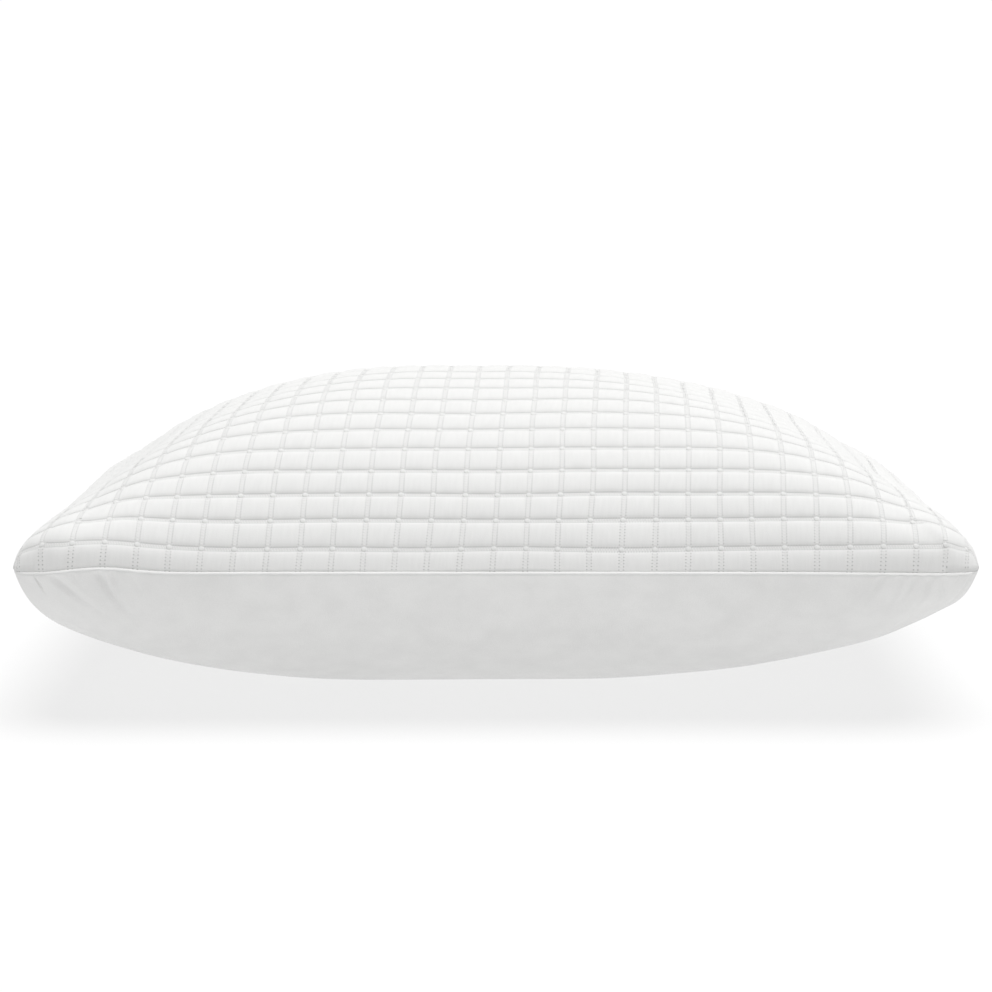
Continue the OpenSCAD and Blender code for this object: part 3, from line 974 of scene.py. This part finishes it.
# A flattened thread crossing the channel, sunk into the cloth at both ends.
def ladderBar(length, radius, rise):
    points, faces = [], []
    bow = radius * 0.16
    for x, lift in ((-length / 2, -0.16), (-length / 4, rise * 0.8), (0, rise),
                    (length / 4, rise * 0.8), (length / 2, -0.16)):
        points += [(x, y, lift + flat) for y, flat in ((-radius, -bow), (0, bow), (radius, -bow))]
    for ring in range(4):
        for k in range(2):
            a = ring * 3 + k
            faces.append((a, a + 3, a + 4, a + 1))
    return sourceShape("ladder bar", points, faces)


def lowDome(name, radius, height, sides=10):
    points = [(0, 0, height)]
    faces = []
    for out, up in ((0.5, 0.88), (0.88, 0.45), (1.0, -0.3)):
        for k in range(sides):
            angle = 2 * math.pi * k / sides
            points.append((radius * out * math.cos(angle), radius * out * math.sin(angle), height * up))
    for k in range(sides):
        nxt = (k + 1) % sides
        faces.append((0, 1 + k, 1 + nxt))
        for ring in range(2):
            a = 1 + ring * sides
            faces.append((a + k, a + sides + k, a + sides + nxt, a + nxt))
    return sourceShape(name, points, faces)


def onPanel(u, v, readers, lift=0.0):
    x, y = placeFabric(u, v, readers)
    normal = normalAt(x, y)
    return np.stack([x, y, upperHeight(x, y)], axis=-1) + normal * lift + topSettled(x, y), normal


# How far the upright channel's floor has risen at v from the crossing below it.
def fadeToTack(v):
    return growth(fromLine(v) - quilt["channel"], quilt["shoulder"])


# Sets a shape at u and v of the fabric, raised by the floor's height away from tacks and seam.
def sewOn(name, u, v, readers, clear, step, floor, shape, material):
    t = stitch
    clear = clear & (seamDistance(*placeFabric(u, v, readers)) > t["edgeGap"])
    u, v = u[clear], v[clear]
    places, normal = onPanel(u, v, readers, t["lift"])
    fade = fadeToTack(v) * growth(seamDistance(*placeFabric(u, v, readers)), quilt["seamEase"])
    places = places + normal * (floor * fade)[:, None]
    across = onPanel(u + step[0], v + step[1], readers)[0]
    across = across - onPanel(u - step[0], v - step[1], readers)[0]
    piece = repeatOnPoints(pointCloud(name, places, across=across, up=normal), shape, material)
    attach(piece, "cover")
    print(piece.name, len(piece.data.polygons), "faces")


# Ladder stitches over every channel, and a round tack at every crossing.
def makeStitches(readers):
    q, t = quilt, stitch
    side, deep = q["across"] * q["square"], q["rowsBehind"] * q["square"]
    lines = np.arange(-q["across"], q["across"] + 1) * q["square"]
    rows = np.arange(q["lines"]) * q["square"]
    pitches = t["uprightPitch"], t["levelPitch"]
    upright = np.meshgrid(lines, np.arange(-q["square"], deep, pitches[0]) + pitches[0] / 2)
    level = np.meshgrid(np.arange(-side, side, pitches[1]) + pitches[1] / 2, rows)
    raised = q["puff"] * (1 - q["uprightShare"])
    for name, grid, along, step, floor in (("uprightStitches", upright, 1, (t["probe"], 0.0), raised),
                                           ("levelStitches", level, 0, (0.0, t["probe"]), 0.0)):
        u, v = [places.ravel() for places in grid]
        clear = fromLine((u, v)[along]) > t["tackRadius"]
        sewOn(name, u, v, readers, clear, step, floor,
              ladderBar(t["span"], t["thread"] / 2, t["rise"]), sewingThread)
    u, v = [places.ravel() for places in np.meshgrid(lines, rows)]
    sewOn("tacks", u, v, readers, True, (1.0, 0.0), 0.0,
          lowDome("tack", t["tackRadius"], t["tackHeight"]), shadedTackThread)


makeStitches(readers)


stuffing = {
    "shellGrid": (60, 40),    # steps from the middle, across and along the depth
    "fillGrid": (50, 34),
    "fillDepth": (14.0, 12.0),    # below the quilting and above the underside
    "lumpSize": 26,
    "lumpHeight": (0.9, 0.5),
}


# Wadding, backing and liner, each a shell a little inside the last.
def dressInside():
    # Piece, surface, depth inside it, material, slot and the node that it stands for.
    shells = (
        ("wadding", upperSurface, 1.4, bondedWadding, "wadding", "top_panel_wadding"),
        ("backing", upperSurface, 3.0, spunbondBacking, "backing", "top_panel_backing"),
        ("linerTop", upperSurface, 11.5, wovenLiner, "liner", "liner_top"),
        ("linerBottom", lowerSurface, 9.5, wovenLiner, "liner", "liner_bottom"),
    )
    for name, surface, depth, material, slot, node in shells:
        piece = makeShell(name, surface, depth, *stuffing["shellGrid"], material)
        standFor(piece, node)


# One closed lump of fibre inside the liner.
def makeFilling():
    f = stuffing
    s, t = np.meshgrid(*[easedLine(count, 0.7) for count in f["fillGrid"]])
    x, y, z, reach = upperSurface(s, t, f["fillDepth"][0])
    lowX, lowY, lowZ = lowerSurface(s, t, f["fillDepth"][1])[:3]
    soft = 1 - reach ** 6
    z = z + soft * f["lumpHeight"][0] * ripple(x, y, 31, f["lumpSize"])
    lowZ = lowZ + soft * f["lumpHeight"][1] * ripple(x, y, 32, f["lumpSize"])
    top = np.stack([x, y, z], axis=-1).reshape(-1, 3)
    base = np.stack([lowX, lowY, lowZ], axis=-1).reshape(-1, 3)
    rows, columns = s.shape
    faces = np.concatenate([gridFaces(rows, columns), gridFaces(rows, columns)[:, ::-1] + len(top)])
    loop = rimLoop(rows, columns)
    wall = np.stack([np.roll(loop, -1), loop, loop + len(top), np.roll(loop, -1) + len(top)], axis=1)
    piece = meshPiece("filling", np.concatenate([top, base]), np.concatenate([faces, wall]).tolist())
    putMaterial(piece, looseFibre)
    standFor(piece, "fill")


dressInside()
makeFilling()
print("inside made")


zipper = {
    "turnPitch": 1.5,
    "turnSpread": 0.22,       # how far a turn leans along the zip, in pitches
    "turnSteps": 10,
    "wire": 0.75,
    "wireSides": 5,
}


# Nylon turns along one zip edge: each is a flat loop that reaches over the middle.
def makeCoil(name, node, upward):
    low, high = boxMm(node)
    z = zipper
    centreY = (low[1] + high[1]) / 2
    centreZ = (low[2] + high[2]) / 2
    deep, tall = (high[1] - low[1]) / 2, (high[2] - low[2]) / 2
    wire = z["wire"] / 2
    points, faces = [], []
    turns, sides = z["turnSteps"], z["wireSides"]
    for k in range(turns):
        angle = 2 * math.pi * k / turns
        ring = np.array([z["turnPitch"] * z["turnSpread"] * math.sin(angle),
                         (deep - wire) * math.cos(angle), (tall - wire) * math.sin(angle)])
        out = np.array([0, math.cos(angle), math.sin(angle)])
        for j in range(sides):
            around = 2 * math.pi * j / sides
            points.append(ring + wire * (out * math.cos(around) + np.array([math.sin(around), 0, 0])))
    for k in range(turns):
        for j in range(sides):
            a, b = k * sides + j, k * sides + (j + 1) % sides
            c, d = (a + sides) % (turns * sides), (b + sides) % (turns * sides)
            faces.append((a, b, d, c))
    shape = sourceShape("coil turn", points, faces)
    fixed = bpy.data.meshes.new("coil turn")
    soft = bmesh.new()
    soft.from_mesh(shape.data)
    bmesh.ops.recalc_face_normals(soft, faces=soft.faces)
    soft.to_mesh(fixed)
    soft.free()
    shape.data = fixed
    run = np.arange(low[0] + 1, high[0] - 1, z["turnPitch"])
    if not upward:
        run = run + z["turnPitch"] / 2
    places = np.stack([run, np.full_like(run, centreY), np.full_like(run, centreZ)], axis=-1)
    cloud = pointCloud(name, places, across=np.tile([1.0, 0, 0], (len(run), 1)),
                       up=np.tile([0, 0, 1.0], (len(run), 1)))
    piece = repeatOnPoints(cloud, shape, drawnNylon)
    standFor(piece, node)


makeCoil("zipCoilUpper", "zip_coil_upper", True)
makeCoil("zipCoilLower", "zip_coil_lower", False)


label = {
    "grid": (9, 22),          # points across and down
    "bow": 0.5,               # how far it bows out of its plane
    "wave": 0.25,             # and waves across its width
    "thickness": 0.35,
}


# A blank satin ribbon that hangs from the seam and bows a little.
def makeLabel():
    low, high = boxMm("care_label")
    across = np.linspace(low[0], high[0], label["grid"][0])
    down = np.linspace(high[2], low[2], label["grid"][1])
    x, z = np.meshgrid(across, down)
    share = (high[2] - z) / (high[2] - low[2])
    bow = label["bow"] * np.sin(share * math.pi * 0.9)
    bow = bow + label["wave"] * np.sin((x - low[0]) / 8 + share * 2) * share
    y = (low[1] + high[1]) / 2 + bow
    points = np.stack([x, y, z], axis=-1).reshape(-1, 3)
    piece = meshPiece("careLabel", points, gridFaces(*x.shape)[:, ::-1].tolist())
    putMaterial(piece, satinLabel)
    thick = piece.modifiers.new("thickness", "SOLIDIFY")
    thick.thickness = label["thickness"] * mm
    thick.offset = 0
    standFor(piece, "care_label")


makeLabel()
for node, material in (("zip_tape_upper", zipTape), ("zip_tape_lower", zipTape),
                       ("zip_slider_body", platedZinc), ("zip_pull_tab", platedZinc),
                       ("zip_top_stops", platedZinc), ("zip_bottom_stop", platedZinc)):
    putMaterial(bpy.data.objects[node], material)
print("zip and label made")


lightTable = {
    "half": 30.0,             # metres
    "grey": 0.26,
    "glow": 0.68,
}


def makeFloor():
    size, grey = lightTable["half"], lightTable["grey"]
    mesh = bpy.data.meshes.new("floor")
    mesh.from_pydata([(-size, -size, 0), (size, -size, 0), (size, size, 0), (-size, size, 0)], [],
                     [(0, 1, 2, 3)])
    floor = newObject("floor", mesh)
    # Translucent white light table: it fills the shadow under the pillow.
    material, surface = startMaterial("light table, opal acrylic", Roughness=0.9, Specular_IOR_Level=0.0,
                                      Emission_Strength=lightTable["glow"])[::2]
    surface.inputs["Base Color"].default_value = (grey, grey, grey, 1)
    surface.inputs["Emission Color"].default_value = (1, 1, 1, 1)
    putMaterial(floor, material)


studio = {
    "distance": 1.557,        # camera to the middle of the front seam
    "downward": 9.0,          # degrees that it looks down
    "raise": 0.0501,
    "lens": 86.8,
    "skyLow": 1.02,           # brightness of the surround at the horizon
    "skyHigh": 0.5,           # and overhead
    "horizon": (0.05, 0.12),  # where the one turns into the other
    "sunLight": 2.6,
    "sunSpread": 50.0,        # degrees, as a large overhead softbox gives
    "sunBack": 8.0,           # degrees that it leans to the back
    "sunRight": 7.0,
}


def makeStudio():
    g = studio
    angle = math.radians(g["downward"])
    along = Vector((0, math.cos(angle), -math.sin(angle)))
    up = Vector((0, math.sin(angle), math.cos(angle)))
    seam = Vector((0, -(pillow["halfDepth"] - 0.25) * mm, pillow["seamHeight"] * mm))
    camera = newObject("camera", bpy.data.cameras.new("camera"))
    camera.location = seam - along * g["distance"] + up * g["raise"]
    camera.rotation_euler = (math.radians(90 - g["downward"]), 0, 0)
    camera.data.lens = g["lens"]
    camera.data.sensor_width = 36
    bpy.context.scene.camera = camera
    world = bpy.data.worlds.new("studio")
    world.use_nodes = True
    tree = world.node_tree
    way = addNode(tree, "ShaderNodeTexCoord").outputs["Generated"]
    height = addNode(tree, "ShaderNodeSeparateXYZ", Vector=way).outputs["Z"]
    glow = addNode(tree, "ShaderNodeMapRange", Value=height, From_Min=g["horizon"][0],
                   From_Max=g["horizon"][1], To_Min=g["skyLow"], To_Max=g["skyHigh"])
    tree.links.new(glow.outputs["Result"], tree.nodes["Background"].inputs["Strength"])
    tree.nodes["Background"].inputs["Color"].default_value = (1, 1, 1, 1)
    bpy.context.scene.world = world
    light = bpy.data.lights.new("overhead", "SUN")
    light.energy = g["sunLight"]
    light.angle = math.radians(g["sunSpread"])
    lamp = newObject("overhead", light)
    lamp.rotation_euler = (math.radians(-g["sunBack"]), math.radians(g["sunRight"]), 0)
    bpy.context.scene.view_settings.view_transform = "Standard"


makeFloor()
makeStudio()
